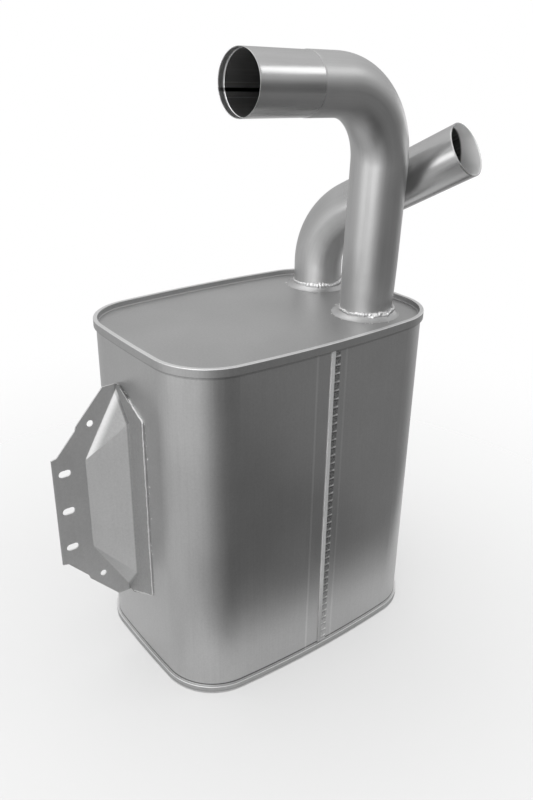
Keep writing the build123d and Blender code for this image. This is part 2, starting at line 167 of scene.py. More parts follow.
def new_material(name):
    material = bpy.data.materials.new(name)
    material.use_nodes = True
    return material, Nodes(material.node_tree)


def grey(level):
    return (level, level, level)


def times(shade, factor):
    """A shade times a factor, as a colour."""
    return (*(factor * part for part in shade), 1)


def close_metal(nodes, shade, tone, roughness, height, depth):
    """Ends a metal's tree: tone 0 to 1, and beyond, moves the shade from 0.8 to 1.18 of itself."""
    colour = nodes.blend(tone, times(shade, 0.8), times(shade, 1.18), clamp_factor=False)
    # Times white changes nothing, but its clamp holds the colour between 0 and 1.
    colour = nodes.blend(1.0, colour, (1, 1, 1, 1), blend_type="MULTIPLY", clamp_result=True)
    nodes.close(colour, 1.0, roughness, height, depth)


# ---------------------------------------------------------------- materials

def rolled_sheet(name, shade, rough, rim_shadows_and_ridges=False, rims=False, dark_foot_and_wall_light=False):
    """
    Coated sheet: upright rolling streaks, faint clouds, fine grain, slow dents. rim_shadows_and_ridges
    paints shade lines on the jacket beside both rims, where the rims' undercut shades it, and adds the
    ridges beside its seam, real bumps with a painted highlight along them; rims paints highlights and
    shade lines along the rolled rims; dark_foot_and_wall_light darkens the bracket's foot, and paints
    its sloping upward-facing wall pale near the flange, a painted highlight along the crease, and dark
    further off, painted shade.
    """
    material, nodes = new_material(name)
    place = nodes.place()
    x, y, z = nodes.parts(place)
    clouds = nodes.noise(place, 7.0, 3.0)
    streaks = nodes.noise(nodes.stretched(place, (380.0, 380.0, 5.0)), 1.0, 4.0, 0.6)
    grain = nodes.noise(place, 700.0, 2.0, 0.7)
    mottle = nodes.noise(place, 240.0, 2.0, 0.6)
    dents = nodes.noise(nodes.stretched(place, (9.0, 9.0, 3.0)), 1.0, 1.0)
    tone = nodes.total((clouds, 0.45), (streaks, 0.35), (grain, 0.35), (mottle, 0.45))
    tone = nodes.math("SUBTRACT", tone, 0.3)
    height = nodes.total((dents, 8.0), (streaks, 0.12), (grain, 0.16))
    if rim_shadows_and_ridges:
        # Painted shade lines on the jacket beside the rims.
        for level, change in RIM_SHADOW_LINES:
            tone = nodes.total((tone, 1.0), (nodes.line(z, level, 0.0006, 0.0026), change))
        front = nodes.math("LESS_THAN", y, AXIS_Y - 0.15)
        for beside, lift in SEAM_RIDGES:
            ridge = nodes.math("MULTIPLY", nodes.line(x, AXIS_X + beside, 0.0005, 0.0038), front)
            height = nodes.total((height, 1.0), (ridge, lift))
            # Painted highlight along the ridge.
            tone = nodes.total((tone, 1.0), (ridge, 0.35 * lift))
    if rims:
        # Painted highlights and painted shade lines along the rolled rims.
        for level, half, change in RIM_LIGHT_LINES:
            tone = nodes.total((tone, 1.0), (nodes.line(z, level, half * 0.4, half), change))
    if dark_foot_and_wall_light:
        # The foot is darkened. On faces turned upward, the sloping wall gets a painted highlight near the
        # flange and painted shade further off.
        foot = nodes.span(x, AXIS_X - FOOT_EDGE[0], AXIS_X - FOOT_EDGE[1], 0.0, 0.95, True)
        upper = nodes.span(nodes.parts(nodes.place("Normal"))[2], 0.12, 0.25, 0.0, 1.0)
        from_back = nodes.math("SUBTRACT", FLANGE_BACK, y)
        painted_wall_light = nodes.math("MULTIPLY", nodes.span(from_back, 0.003, 0.017, 0.7, -0.8, True), upper)
        tone = nodes.total((tone, 1.0), (foot, -1.0), (painted_wall_light, 1.0))
    roughness = nodes.span(nodes.math("ADD", clouds, streaks), 0.6, 1.4, rough - 0.04, rough + 0.05)
    close_metal(nodes, shade, tone, roughness, height, 0.0001)
    return material


def drawn_tube(name, shade, sized_from, soft, mouth, shadow_depths, pale, dark, inner_rough, tip=0.0, seam=None):
    """
    Tube metal: lines drawn along the tube, duller in the bend, smooth where the end is sized, and painted
    pale near the weld at its foot, a painted reflection of the bright plate. Below the mouth the inner wall
    is painted pale, lit, down to the first of the two depths of shadow_depths, and painted dark, in shade,
    below the second; the border of the painted shade is tipped by tip times the place across the tube.
    seam is the turn of its long dark joint.
    """
    material, nodes = new_material(name)
    along = nodes.attribute("along", "Vector")
    across, aside, reach = nodes.parts(along)
    lines = nodes.noise(nodes.stretched(along, (260.0, 260.0, 5.0)), 1.0, 4.0, 0.65)
    clouds = nodes.noise(nodes.stretched(along, (26.0, 26.0, 14.0)), 1.0, 3.0, 0.55)
    grain = nodes.noise(along, 800.0, 2.0, 0.7)

    # Painted highlight: paler towards the foot, for the plate's reflection.
    painted_low_highlight = nodes.span(reach, 0.06, 0.17, 1.0, 0.0, True)
    outer_tone = nodes.total((lines, 0.45), (clouds, 0.35), (grain, 0.2), (painted_low_highlight, 0.35))
    sized = nodes.span(reach, sized_from - soft, sized_from + soft, 0.0, 1.0, True)
    dull = nodes.span(sized, 0.0, 1.0, 0.40, 0.24)
    outer_rough = nodes.math("SUBTRACT", nodes.total((dull, 1.0), (clouds, 0.10), (lines, 0.06)), 0.08)

    # Painted light and shade in the bore: pale near the mouth where light reaches in, dark deeper down, in
    # the near rim's shadow.
    depth = nodes.math("SUBTRACT", mouth, reach)
    deep = nodes.span(nodes.total((depth, 1.0), (across, -tip)), *shadow_depths, 0.0, 1.0, True)
    inner_tone = nodes.total((nodes.span(deep, 0.0, 1.0, pale, dark), 1.0), (lines, 1.2))
    if seam is not None:
        turn = nodes.math("ARCTAN2", aside, across)
        inner_tone = nodes.math("SUBTRACT", inner_tone, nodes.line(turn, seam, 0.035, 0.085, 3.0))
        for at, gain in MOUTH_GLINTS:
            inner_tone = nodes.math("ADD", inner_tone, nodes.line(turn, at, 0.0, 0.03, gain))

    inside = nodes.attribute("inside")
    tone = nodes.mix(inside, outer_tone, inner_tone)
    roughness = nodes.mix(inside, outer_rough, inner_rough)
    height = nodes.total((lines, 0.06), (clouds, 0.35), (grain, 0.04))
    close_metal(nodes, shade, tone, roughness, height, 0.0002)
    return material


def weld_metal(name):
    """Weld metal: bright, blotchy, with grain."""
    material, nodes = new_material(name)
    place = nodes.place()
    blotches = nodes.noise(place, 260.0, 3.0, 0.6)
    grain = nodes.noise(place, 1500.0, 2.0, 0.6)
    tone = nodes.total((blotches, 0.7), (grain, 0.3))
    roughness = nodes.span(blotches, 0.3, 0.7, 0.30, 0.50)
    close_metal(nodes, grey(0.72), tone, roughness, nodes.total((blotches, 0.6), (grain, 0.4)), 0.0003)
    return material


def scuffed_seam(name, shade, rough, low_painted_light, rib_highlights=False):
    """
    The seam's own surface: dulled by the seaming rollers, with short level scuffs, and its tone moved by
    low_painted_light towards its lower end: painted light for the floor the seam mirrors there, while a
    negative value paints shade. rib_highlights paints the ribs between the crimps bright, a painted
    highlight on their upper lips, with a painted shadow line beside each.
    """
    material, nodes = new_material(name)
    place = nodes.place()
    level = nodes.parts(place)[2]
    scuffs = nodes.noise(nodes.stretched(place, (150.0, 150.0, 700.0)), 1.0, 3.0, 0.6)
    grain = nodes.noise(place, 620.0, 3.0, 0.7)
    # Painted light towards the lower end, for the floor the seam mirrors there; a negative value paints
    # shade.
    low = nodes.span(level, 0.03, 0.19, low_painted_light, 0.0, True)
    tone = nodes.total((scuffs, 0.5), (grain, 0.5), (low, 1.0))
    if rib_highlights:
        blotches = nodes.span(nodes.noise(place, 330.0, 2.0, 0.5), 0.35, 0.65, -0.9, 0.9)
        # Painted highlight on the ribs and painted shadow lines beside them, from the attribute.
        tone = nodes.total((tone, 1.0), (nodes.attribute("rib_light"), 4.2), (blotches, 1.0))
    roughness = nodes.span(grain, 0.3, 0.7, rough - 0.06, rough + 0.08)
    close_metal(nodes, shade, tone, roughness, nodes.total((scuffs, 0.5), (grain, 0.5)), 0.00035)
    return material


def mineral_wool(name, shade):
    """Mineral fibre: matted, pale, quite dull."""
    material, nodes = new_material(name)
    place = nodes.place()
    tufts = nodes.noise(place, 160.0, 4.0, 0.7)
    strands = nodes.noise(nodes.stretched(place, (900.0, 900.0, 120.0)), 1.0, 3.0, 0.6)
    tone = nodes.total((tufts, 0.6), (strands, 0.4))
    colour = nodes.blend(tone, times(shade, 0.7), times(shade, 1.2))
    nodes.close(colour, 0.0, 0.95, tone, 0.001)
    return material


# ---------------------------------------------------------------- mesh helpers

def surface(name, points, wrap, material, attributes=None, extra=None):
    """
    A grid of points (rows, columns, 3) as quads. wrap closes its rows and its columns; extra is more
    points with quads of their own; the faces are turned outward by the sign of the volume. An attribute
    is a kind, a field and its values on the grid, and is 0 on the extra points.
    """
    rows, columns = points.shape[:2]
    last_row = rows if wrap[0] else rows - 1
    last_column = columns if wrap[1] else columns - 1
    i, j = np.meshgrid(np.arange(last_row), np.arange(last_column), indexing="ij")

    def corner(row, column):
        return (row % rows) * columns + column % columns

    quads = np.stack([corner(i, j), corner(i + 1, j), corner(i + 1, j + 1), corner(i, j + 1)], -1)
    quads = quads.reshape(-1, 4)
    flat = points.reshape(-1, 3)
    if extra is not None:
        quads = np.vstack([quads, extra[1] + len(flat)])
        flat = np.vstack([flat, extra[0]])
    a, b, c, d = (flat[quads[:, k]] for k in range(4))
    volumes = np.einsum("ij,ij->i", a, np.cross(b, c)) + np.einsum("ij,ij->i", a, np.cross(c, d))
    if volumes.sum() < 0:
        quads = quads[:, ::-1]
    mesh = bpy.data.meshes.new(name)
    mesh.vertices.add(len(flat))
    mesh.vertices.foreach_set("co", np.ascontiguousarray(flat, dtype=np.float32).ravel())
    mesh.loops.add(quads.size)
    mesh.loops.foreach_set("vertex_index", np.ascontiguousarray(quads, dtype=np.int32).ravel())
    mesh.polygons.add(len(quads))
    mesh.polygons.foreach_set("loop_start", np.arange(0, quads.size, 4, dtype=np.int32))
    mesh.update(calc_edges=True)
    mesh.validate()
    for key, (kind, field, values) in (attributes or {}).items():
        data = np.zeros((len(flat),) + values.shape[2:], dtype=np.float32)
        data[: rows * columns] = values.reshape((rows * columns,) + values.shape[2:])
        mesh.attributes.new(key, kind, "POINT").data.foreach_set(field, data.ravel())
    mesh.polygons.foreach_set("use_smooth", np.ones(len(quads), dtype=bool))
    mesh.materials.append(material)
    piece = bpy.data.objects.new(name, mesh)
    bpy.context.scene.collection.objects.link(piece)
    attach(piece, "root")
    return piece


def drops(centres, sizes, normals):
    """
    Small spatter drops, as one array of points and quads. Each is a low dome of four rings round its
    normal: centre + size * (cos rise * ring + sin rise * normal).
    """
    around = np.linspace(0, 2 * math.pi, 8, endpoint=False)
    rise = np.array([0.0, 0.55, 1.15, 1.5])
    some = np.where(np.abs(normals[:, :1]) < 0.9, [[1.0, 0.0, 0.0]], [[0.0, 1.0, 0.0]])
    first = np.cross(normals, some)
    first /= np.linalg.norm(first, axis=1, keepdims=True)
    second = np.cross(normals, first)
    ring = np.cos(around)[:, None, None] * first + np.sin(around)[:, None, None] * second
    level = rise[:, None, None, None]
    points = centres + sizes[:, None] * (np.cos(level) * ring[None] + np.sin(level) * normals)
    rings, turns, count = points.shape[:3]
    k, i, j = np.meshgrid(np.arange(count), np.arange(rings - 1), np.arange(turns), indexing="ij")

    def corner(row, column):
        return (row * turns + column % turns) * count + k

    quads = np.stack([corner(i, j), corner(i, j + 1), corner(i + 1, j + 1), corner(i + 1, j)], -1)
    return points.reshape(-1, 3), quads.reshape(-1, 4)


# ---------------------------------------------------------------- elbows

class ElbowLine:
    """Centre line of an elbow: straight leg, arc, straight run. lean, turn and bend are in degrees."""

    def __init__(self, knee, lean, turn, leg, bend_radius, bend, run):
        lean, turn, self.bend = (math.radians(angle) for angle in (lean, turn, bend))
        self.up = np.array([0.0, -math.sin(lean), math.cos(lean)])
        flat = np.array([math.cos(turn), math.sin(turn), 0.0])
        side = flat - self.up * (flat @ self.up)
        self.side = side / np.linalg.norm(side)
        self.across = np.cross(self.up, self.side)
        self.knee, self.leg, self.bend_radius = np.array(knee), leg, bend_radius
        self.bend_length = bend_radius * self.bend
        self.length = leg + self.bend_length + run

    def at(self, distance):
        """Place and inward normal, for an array of distances from the foot."""
        turn = np.clip((distance - self.leg) / self.bend_radius, 0.0, self.bend)[:, None]
        below = np.minimum(distance - self.leg, 0.0)[:, None]
        beyond = np.maximum(distance - self.leg - self.bend_length, 0.0)[:, None]
        tangent = self.side * np.sin(turn) + self.up * np.cos(turn)
        inward = self.side * np.cos(turn) - self.up * np.sin(turn)
        bent = self.side * (1 - np.cos(turn)) + self.up * np.sin(turn)
        place = self.knee + self.bend_radius * bent + self.up * below + tangent * beyond
        return place, inward

    def at_height(self, height):
        """Place of the leg's line at a height."""
        return self.knee + self.up * ((height - self.knee[2]) / self.up[2])


LARGE = ElbowLine(
    knee=(0.215085, -0.105539, 0.959833), lean=2.0, turn=184.0,
    leg=0.330, bend_radius=0.1367, bend=87.7, run=0.200,
)
SMALL = ElbowLine(
    knee=(0.263785, 0.107323, 0.7248), lean=0.0, turn=285.80,
    leg=0.0948, bend_radius=0.1447, bend=60.6, run=0.272,
)


def elbow(name, line, outer, inner, material):
    """
    A tube along its line. outer and inner are walls, as distances and radii. The profile is a closed loop
    of (distance, radius): outer wall from foot to mouth, a rounded lip, then the inner wall back. Each
    point turns round the line: place + radius * (cos u * inward + sin u * across), with the radius a
    little uneven.
    """
    lip_from = line.length - 0.0004
    seat_rows = line.length - np.array([0.0125, 0.0119, 0.0116])
    steps = np.unique(np.concatenate([np.linspace(0.0, lip_from, 190), outer[0], seat_rows]))
    steps = steps[steps <= lip_from]
    back = steps[::-1]
    wall = np.interp(steps, *outer)
    bore = np.interp(back, *inner)
    lip = line.length - np.array([0.0001, 0.0, 0.0, 0.0001])
    lip_radius = np.array([wall[-1] - 0.0001, wall[-1] - 0.0003, bore[0] + 0.0003, bore[0] + 0.0001])
    distance = np.concatenate([steps, lip, back])
    radius = np.concatenate([wall, lip_radius, bore])[:, None]
    u = np.linspace(0, 2 * math.pi, 128, endpoint=False)
    place, inward = line.at(distance)
    uneven = 0.00008 * np.sin(3 * u[None] + 31 * distance[:, None]) * np.sin(23 * distance[:, None])
    spoke = np.cos(u)[None, :, None] * inward[:, None] + np.sin(u)[None, :, None] * line.across
    points = place[:, None] + (radius + uneven)[..., None] * spoke
    reach = np.repeat(distance[:, None], len(u), 1)
    along = np.stack([radius * np.cos(u), radius * np.sin(u), reach], -1)
    first_inside = len(steps) + len(lip) - 1
    is_inside = np.repeat((np.arange(len(distance)) >= first_inside)[:, None], len(u), 1).astype(float)
    attributes = {"along": ("FLOAT_VECTOR", "vector", along), "inside": ("FLOAT", "value", is_inside)}
    return surface(name, points, (True, True), material, attributes)


def large_elbow(material):
    """Its leg is slightly swollen, its end is sized, and its mouth has a shallow seat inside."""
    line = LARGE
    end = line.length - SIZED_LENGTH
    bend_end = line.leg + line.bend_length
    outer = (
        np.array([0.0, 0.068, 0.10, 0.14, line.leg, bend_end, end - 0.002, end, line.length]),
        TUBE_RADIUS + 0.001 * np.array([0.0, 0.0, 1.0, 1.5, 1.5, 0.6, 0.4, -0.4, -0.4]),
    )
    seat = line.length - SEAT_DEPTH
    inner = (
        np.array([0.0, seat, seat + 0.0003, line.length]),
        TUBE_BORE + np.array([0.0, 0.0, 0.0007, 0.0007]),
    )
    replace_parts(elbow("large_elbow", line, outer, inner, material), "large_pipe")


def small_elbow(material):
    """The plain tube."""
    line = SMALL
    outer = (np.array([0.0, line.length]), np.array([TUBE_RADIUS, TUBE_RADIUS]))
    inner = (np.array([0.0, line.length]), np.array([TUBE_BORE, TUBE_BORE]))
    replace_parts(elbow("small_elbow", line, outer, inner, material), "small_pipe")


# ---------------------------------------------------------------- welds

def bead(place, outward, lift, size, seed, closed, tall=1.0, pitch=0.0027, rough=0.11):
    """
    A weld bead along a line: a round section of the given size, drawn tall times as high, whose radius
    swells in chevron ripples (a squared sawtooth of the distance, held back by the square of the angle
    off the crown) and in slow uneven lumps.
    """
    chance = np.random.default_rng(seed)
    step = np.linalg.norm(np.diff(place, axis=0, append=place[:1] if closed else place[-1:]), axis=1)
    run = np.concatenate([[0.0], np.cumsum(step)[:-1]])
    total = step.sum()
    v = np.linspace(-math.pi, math.pi, 24, endpoint=False)
    count = round(total / pitch)
    drift = 0.5 * np.sin(2 * math.pi * 5 * run / total + seed) + 0.4 * np.sin(2 * math.pi * 13 * run / total)
    phase = (count * run / total + drift)[:, None] - 0.42 * (v[None] / 1.4) ** 2
    ripple = (0.08 + rough * 0.6) * (phase - np.floor(phase)) ** 2
    lumps = np.zeros((len(run), len(v)))
    for wave in range(3, 60, 3):
        part = 2 * math.pi * wave * run / total + chance.uniform(0, 6.3)
        lumps += chance.normal() / math.sqrt(wave) * np.cos(part[:, None] + chance.integers(-2, 3) * v[None])
    radius = size * (1.0 + rough * lumps + ripple)
    section = np.cos(v)[None, :, None] * outward[:, None] + tall * np.sin(v)[None, :, None] * lift[:, None]
    return place[:, None] + radius[..., None] * section


def neck_bead(name, node, line, material, seed):
    """
    A broad, lumpy bead over the neck's edge, where the tube leaves it, thickest at the turn thick_turn,
    and drops of spatter on the plate beside it.
    """
    thick_turn = math.radians(262.0)
    spatter = 26
    u = np.linspace(0, 2 * math.pi, 1100, endpoint=False)
    middle = line.at_height(0.6846)
    outward = np.stack([np.cos(u), np.sin(u), np.zeros_like(u)], -1)
    chance = np.random.default_rng(seed)
    sway = sum(
        chance.normal() * 0.0007 * np.cos(k * u + chance.uniform(0, 6.3)) / math.sqrt(k)
        for k in (2, 3, 5, 9, 14)
    )
    place = middle + outward * (TUBE_RADIUS + 0.0008) + np.array([0, 0, 1.0]) * sway[:, None]
    lift = np.broadcast_to([0.0, 0.0, 1.0], place.shape)
    points = bead(place, outward, lift, 0.0037, seed, True, tall=1.3, pitch=0.0046, rough=0.17)
    facing = 0.5 + 0.5 * np.cos(u - thick_turn)
    full = (0.45 + 0.62 * np.clip(facing * 1.35 - 0.2, 0.0, 1.0) ** 1.2)[:, None, None]
    points = place[:, None] + (points - place[:, None]) * full
    points[..., 2] = np.maximum(points[..., 2], PLATE_TOP + 0.0002)
    turn = chance.uniform(0, 2 * math.pi, spatter)
    away = TUBE_RADIUS + chance.uniform(0.0085, 0.022, spatter)
    on_plate = np.full(spatter, PLATE_TOP)
    centres = np.stack([middle[0] + away * np.cos(turn), middle[1] + away * np.sin(turn), on_plate], -1)
    upward = np.broadcast_to([0.0, 0.0, 1.0], (spatter, 3))
    extra = drops(centres, chance.uniform(0.0005, 0.0013, spatter), upward)
    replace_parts(surface(name, points, (True, True), material, extra=extra), node)


def neck_collar(name, line, material):
    """
    The flared skirt of a neck under its bead: the profile (radius, height) falls from the bead to the plate
    as a soft S, turned round the tube, a little wavy as z = height + wave(u) times 4 t (1 - t), with t
    from 0 at the bead to 1 at the plate. Its underside lies in the plate.
    """
    u = np.linspace(0, 2 * math.pi, 240, endpoint=False)
    t = np.linspace(0.0, 1.0, 26)
    reach = TUBE_RADIUS + 0.0014 + 0.0148 * t**1.25
    height = 0.6842 - 0.0094 * (t**1.5 * (1.9 - 0.9 * t))
    middle = line.at_height(0.680)
    wave = 0.00022 * np.sin(3 * u + 1.0) + 0.00012 * np.sin(7 * u)
    z = height[:, None] + (4 * t * (1 - t))[:, None] * wave[None]
    x = middle[0] + reach[:, None] * np.cos(u)
    y = middle[1] + reach[:, None] * np.sin(u)
    shell = np.stack([x, y, z], -1)
    under = shell[::-1].copy()
    under[..., 2] = PLATE_TOP - 0.0004
    surface(name, np.concatenate([shell, under]), (True, True), material)


def side_face(y):
    """x on the short side's face: -length/2 + y squared over twice the bow's radius."""
    return AXIS[0] - HALF_LENGTH + y**2 / (2 * SIDE_BOW)


def bracket_bead(material):
    """
    The bead along the foot's free edge, on the bowed side, through corners given as (y from the axis, z),
    which a running mean over 31 points rounds by about 6 mm. It thins out at both ends. Drops of spatter
    lie beside it.
    """
    corners = np.array([[0.0325, 0.5875], [-0.0463, 0.5485], [-0.0463, 0.1695], [0.0325, 0.1305]])
    spacing, window, spatter = 0.0004, 31, 34
    legs = []
    for first, last in zip(corners[:-1], corners[1:]):
        count = max(2, int(np.linalg.norm(last - first) / spacing))
        legs.append(first + (last - first) * np.linspace(0, 1, count, endpoint=False)[:, None])
    flat = np.vstack(legs)
    kernel = np.hanning(window) / np.hanning(window).sum()
    y, z = (np.convolve(np.pad(flat[:, k], window // 2, mode="edge"), kernel, "valid") for k in range(2))
    place = np.stack([side_face(y) - 0.0012, AXIS[1] + y, z], -1)
    ahead = np.gradient(place, axis=0)
    ahead /= np.linalg.norm(ahead, axis=1, keepdims=True)
    outward = np.broadcast_to([-1.0, 0.0, 0.0], place.shape)
    chance = np.random.default_rng(5)
    from_end = np.minimum(np.arange(len(y)), np.arange(len(y))[::-1])
    taper = np.clip(from_end / 9.0, 0.02, 1.0) ** 0.5
    points = bead(place, outward, np.cross(ahead, outward), 0.0021, 11, False)
    points = place[:, None] + (points - place[:, None]) * taper[:, None, None]
    beside = chance.integers(20, len(y) - 20, spatter)
    near_y = y[beside] - chance.uniform(0.003, 0.011, spatter)
    near_z = z[beside] + chance.uniform(-0.004, 0.004, spatter)
    centres = np.stack([side_face(near_y), AXIS[1] + near_y, near_z], -1)
    sideways = np.broadcast_to([-1.0, 0.0, 0.0], (spatter, 3))
    extra = drops(centres, chance.uniform(0.0005, 0.0012, spatter), sideways)
    bead_piece = surface("bracket_bead", points, (False, True), material, extra=extra)
    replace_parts(bead_piece, "bracket_weld")


# ---------------------------------------------------------------- lock seam

def seam_face(x, z, proud):
    """Points on the front face, moved out by proud: y = -depth/2 + x squared over twice the bow's radius."""
    y = -HALF_DEPTH + x**2 / (2 * FACE_BOW) - proud
    return np.stack([AXIS[0] + x, AXIS[1] + y, z + np.zeros_like(x)], -1)


def fold_strip(material):
    """
    The folded edge: a closed outline (across, proud) with rounded edges, given in millimetres and carried
    up the seam, where a slow wave moves it sideways, and out by 0.6 of that. The rims hide its open ends.
    """
    z = np.linspace(SEAM_LOW, SEAM_HIGH, 420)
    outline = np.array(
        [[-5.15, -0.3], [-5.2, 0.6], [-5.1, 1.5], [-4.8, 1.86], [-4.2, 1.96], [-2.5, 2.0], [-0.5, 2.0],
         [1.2, 1.98], [2.3, 1.94], [2.9, 1.84], [3.1, 1.5], [3.15, 0.6], [3.1, -0.3]]
    ) * 0.001
    wave = 0.00008 * np.sin(z * 61.0) + 0.00005 * np.sin(z * 173.0)
    x = outline[:, 0][None] + wave[:, None]
    proud = outline[:, 1][None] + 0.6 * wave[:, None] * (outline[:, 1] > 0)[None]
    surface("lock_seam_fold", seam_face(x, z[:, None], proud), (False, True), material)


def crimp_pads(material):
    """
    The row of crimps. With p the place along a pad and q the place across it, both from -1 to 1, a pad
    stands proud by a pillow, (1 - |p|^9) * (1 - 0.9 |q|^10), flat with soft shoulders, less a dish,
    (1 - p^2) * (1 - q^2), and tilted with p. Dish and tilt differ from pad to pad. Narrow grooves lie
    between the pads. The attribute rib_light is about 1 between two pads, falls off from there as
    exp(-(distance / reach)^2), and is a little below 0 in a line on one side: a painted highlight on
    each rib and a painted shadow line beside it, which the crimps' finish paints.
    """
    count = int((SEAM_HIGH - SEAM_LOW) / PAD_PITCH)
    first = (SEAM_LOW + SEAM_HIGH - (count - 1) * PAD_PITCH) / 2
    z = np.linspace(SEAM_LOW, SEAM_HIGH, count * 22)
    x = np.concatenate([[0.00312], np.linspace(0.0034, 0.0170, 22), [0.0173, 0.01735]])[None]
    along = (z - first) / PAD_PITCH
    number = np.floor(along)
    p = ((along - number) * 2 - 1)[:, None]
    q = np.clip((x - 0.0101) / 0.0070, -1, 1)
    shift = (np.sin(number * 2.4) * 0.5 + np.sin(number * 5.1) * 0.5)[:, None]
    pillow = (1 - np.abs(p) ** 9) * (1 - 0.9 * np.abs(q) ** 10)
    dish = 0.00022 * (1 - p**2) * (1 - q**2) * (0.7 + 0.5 * shift)
    tilt = 0.00016 * p * (0.8 + 0.3 * shift)
    proud = 0.00022 + 0.00092 * pillow - dish * 0.6 + tilt * pillow
    proud[:, -1] = -0.0002
    proud[:, 0] = np.maximum(proud[:, 0], 0.0002)
    face = seam_face(np.broadcast_to(x, proud.shape), z[:, None], proud)
    back = seam_face(np.broadcast_to(x[:, ::-1], proud.shape), z[:, None], np.full(proud.shape, -0.0003))
    edge = PAD_PITCH / 2 * (1 - np.abs(p))
    reach = 0.0012 + 0.0009 * np.clip((x - 0.009) / 0.005, 0, 1) + 0.0004 * shift
    # Painted highlight on each rib between two pads, and a painted shadow line beside it.
    rib_light = np.exp(-((edge / reach) ** 2)) * (0.55 + 0.45 * np.clip((x - 0.008) / 0.005, 0, 1))
    rib_light = rib_light * (x < 0.0168) - 0.25 * np.exp(-(((edge - 0.0034) / 0.0011) ** 2)) * (p > 0)
    attributes = {"rib_light": ("FLOAT", "value", np.concatenate([rib_light, np.zeros_like(rib_light)], 1))}
    points = np.concatenate([face, back], 1)
    surface("lock_seam_crimps", points, (False, True), material, attributes)


# ---------------------------------------------------------------- finishes

SHEET = rolled_sheet("satin_sheet", grey(0.54), 0.32, rim_shadows_and_ridges=True)
PLATE = rolled_sheet("end_plate_sheet", grey(0.47), 0.45, rims=True)
COLLAR = rolled_sheet("neck_metal", grey(0.52), 0.42)
BRACKET = rolled_sheet("bracket_sheet", grey(0.60), 0.66, dark_foot_and_wall_light=True)
WELD = weld_metal("weld_metal")
INNER = rolled_sheet("inner_sheet", (0.52, 0.52, 0.53), 0.42)
INNER_TUBE = rolled_sheet("inner_tube_metal", (0.50, 0.50, 0.51), 0.36)
MAT = mineral_wool("mineral_mat", (0.72, 0.68, 0.58))
PACKING = mineral_wool("mineral_packing", (0.78, 0.74, 0.62))
# Inside each mouth, pale is painted light and dark is painted shade, split at two depths below the mouth.
LARGE_TUBE = drawn_tube(
    "large_elbow_metal", grey(0.54), sized_from=LARGE.length - SIZED_LENGTH, soft=0.001,
    mouth=LARGE.length, shadow_depths=(0.0110, 0.0125), pale=2.2, dark=0.2, inner_rough=0.36, seam=-1.292,
)
SMALL_TUBE = drawn_tube(
    "small_elbow_metal", grey(0.54), sized_from=0.26, soft=0.03,
    mouth=SMALL.length, shadow_depths=(0.033, 0.038), pale=3.0, dark=-2.4, inner_rough=0.62, tip=0.45,
)
# Towards their lower ends the fold is painted darker and the crimps paler: painted shade and painted light.
FOLD = scuffed_seam("fold_metal", grey(0.80), 0.74, -0.9)
# The crimps' dark shade is painted shade, for the dark room that they mirror.
CRIMP = scuffed_seam("crimp_metal", grey(0.33), 0.42, 1.5, rib_highlights=True)

finishes = {
    "jacket": SHEET,
    "top_end_plate": PLATE,
    "bottom_end_plate": PLATE,
    "bracket": BRACKET,
    "insulation_mat": MAT,
    "packing": PACKING,
    "inlet_tube": INNER_TUBE,
    "outlet_tube": INNER_TUBE,
    "transfer_tube_front": INNER_TUBE,
    "transfer_tube_back": INNER_TUBE,
}
for name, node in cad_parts.items():
    material = finishes.get(name, INNER)
    if not node.data.materials:
        node.data.materials.append(material)
    for index in range(len(node.data.materials)):
        node.data.materials[index] = material

large_elbow(LARGE_TUBE)
small_elbow(SMALL_TUBE)
neck_bead("large_neck_bead", "large_pipe_weld", LARGE, WELD, 3)
neck_bead("small_neck_bead", "small_pipe_weld", SMALL, WELD, 8)
neck_collar("large_neck_collar", LARGE, COLLAR)
neck_collar("small_neck_collar", SMALL, COLLAR)
bracket_bead(WELD)
fold_strip(FOLD)
crimp_pads(CRIMP)


# ---------------------------------------------------------------- camera, room, lamps

def camera():
    """The photograph's view: yaw from +Y towards +X, pitch below the horizon, a slight roll."""
    focal_pixels, height_pixels, sensor = 784.62, 800.0, 36.0
    data = bpy.data.cameras.new("camera")
    data.sensor_width = sensor
    data.lens = focal_pixels * sensor / height_pixels
    data.clip_start = 0.01
    data.clip_end = 100.0
    eye = bpy.data.objects.new("camera", data)
    yaw, pitch, roll = (math.radians(angle) for angle in (37.27, -25.09, 0.83))
    ahead = Vector((math.sin(yaw) * math.cos(pitch), math.cos(yaw) * math.cos(pitch), math.sin(pitch)))
    right = Vector((math.cos(yaw), -math.sin(yaw), 0.0))
    up = right.cross(ahead)
    right_rolled = right * math.cos(roll) + up * math.sin(roll)
    up_rolled = up * math.cos(roll) - right * math.sin(roll)
    turn = Matrix((right_rolled, up_rolled, -ahead)).transposed()
    eye.matrix_world = Matrix.Translation((-0.8312, -1.1541, 1.1711)) @ turn.to_4x4()
    bpy.context.scene.collection.objects.link(eye)
    bpy.context.scene.camera = eye


